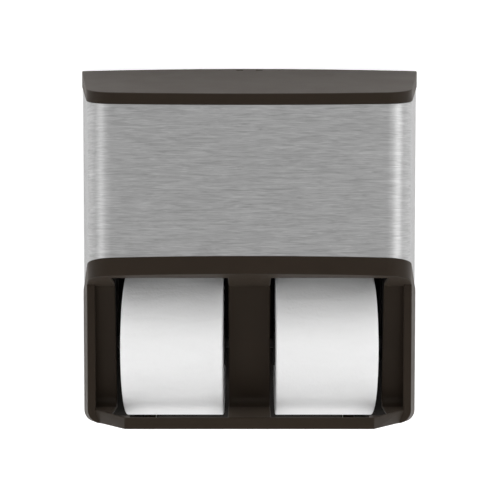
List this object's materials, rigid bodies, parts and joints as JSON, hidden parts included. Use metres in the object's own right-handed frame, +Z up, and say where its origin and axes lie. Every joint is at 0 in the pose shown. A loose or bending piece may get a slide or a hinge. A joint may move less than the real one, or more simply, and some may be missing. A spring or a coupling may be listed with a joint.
{
  "type": "bath tissue dispenser",
  "caption": "Wall-mounted side-by-side bath tissue dispenser with a brushed steel cover that tips forward, open windows, reserve rolls on rails and a key latch.",
  "frame": {"origin": "centre of the four wall screws, on the wall face", "axes": "+X to the right seen from the front, +Y into the wall, +Z up"},
  "size_m": [0.363, 0.176, 0.3855],
  "materials": {
    "dark_plastic": "satin moulded",
    "brushed_panel": "brushed across",
    "liner_plastic": "moulded",
    "wall_plastic": "moulded",
    "lever_plastic": "moulded",
    "bright_steel": "zinc plated",
    "bush_plastic": "natural",
    "tissue": "soft white, embossed",
    "core_board": "plain board",
    "plug_plastic": "moulded"
  },
  "bodies": {
    "wall_unit": {"back_plate": "wall_plastic", "centre_rail": "wall_plastic", "outer_rail_left": "wall_plastic", "outer_rail_right": "wall_plastic", "rail_screws": "bright_steel", "gate_pins": "bright_steel", "latch_keeper": "bright_steel", "keeper_screws": "bright_steel", "hinge_pins": "bright_steel"},
    "cover": {"top_cap": "dark_plastic", "band_bar": "dark_plastic", "side_cheek_left": "dark_plastic", "side_cheek_right": "dark_plastic", "window_jamb_left": "dark_plastic", "window_jamb_right": "dark_plastic", "centre_divider": "dark_plastic", "front_lip": "dark_plastic", "bottom_tray": "dark_plastic", "steel_panel": "brushed_panel", "inner_shell": "liner_plastic", "latch_guide": "liner_plastic", "latch_spring": "bright_steel", "spring_screw": "bright_steel", "hinge_bushes": "bush_plastic"},
    "latch": {"latch_bar": "lever_plastic"},
    "gate_left_body": {"gate_left": "lever_plastic"},
    "gate_right_body": {"gate_right": "lever_plastic"},
    "lower_roll_left": {"lower_paper_left": "tissue", "lower_core_left": "core_board", "lower_plugs_left": "plug_plastic"},
    "lower_roll_right": {"lower_paper_right": "tissue", "lower_core_right": "core_board", "lower_plugs_right": "plug_plastic"},
    "reserve_roll_left": {"reserve_paper_left": "tissue", "reserve_core_left": "core_board", "reserve_plugs_left": "plug_plastic"},
    "reserve_roll_right": {"reserve_paper_right": "tissue", "reserve_core_right": "core_board", "reserve_plugs_right": "plug_plastic"}
  },
  "joints": [
    {"name": "cover_hinge", "type": "hinge", "parent": "wall_unit", "child": "cover", "pos_m": [0, -0.011, -0.1895], "axis": [1, 0, 0], "range_deg": [0, 90]},
    {"name": "latch_slide", "type": "slide", "parent": "cover", "child": "latch", "axis": [0, 0, 1], "range_m": [0, 0.006], "deforming": ["latch_spring"]},
    {"name": "gate_left_hinge", "type": "hinge", "parent": "wall_unit", "child": "gate_left_body", "pos_m": [0, -0.06, 0.04474], "axis": [1, 0, 0], "range_deg": [0, 80], "stiffness_Nm_per_rad": 0.01, "springref_deg": -17.19},
    {"name": "gate_right_hinge", "type": "hinge", "parent": "wall_unit", "child": "gate_right_body", "pos_m": [0, -0.06, 0.04474], "axis": [1, 0, 0], "range_deg": [0, 80], "stiffness_Nm_per_rad": 0.01, "springref_deg": -17.19},
    {"name": "lower_roll_left_spin", "type": "hinge", "parent": "wall_unit", "child": "lower_roll_left", "pos_m": [0, -0.082, -0.09766], "axis": [1, 0, 0], "continuous": true},
    {"name": "lower_roll_right_spin", "type": "hinge", "parent": "wall_unit", "child": "lower_roll_right", "pos_m": [0, -0.082, -0.09766], "axis": [1, 0, 0], "continuous": true},
    {"name": "reserve_roll_left_spin", "type": "hinge", "parent": "wall_unit", "child": "reserve_roll_left", "pos_m": [0, -0.082, 0.06274], "axis": [1, 0, 0], "continuous": true},
    {"name": "reserve_roll_right_spin", "type": "hinge", "parent": "wall_unit", "child": "reserve_roll_right", "pos_m": [0, -0.082, 0.06274], "axis": [1, 0, 0], "continuous": true}
  ]
}
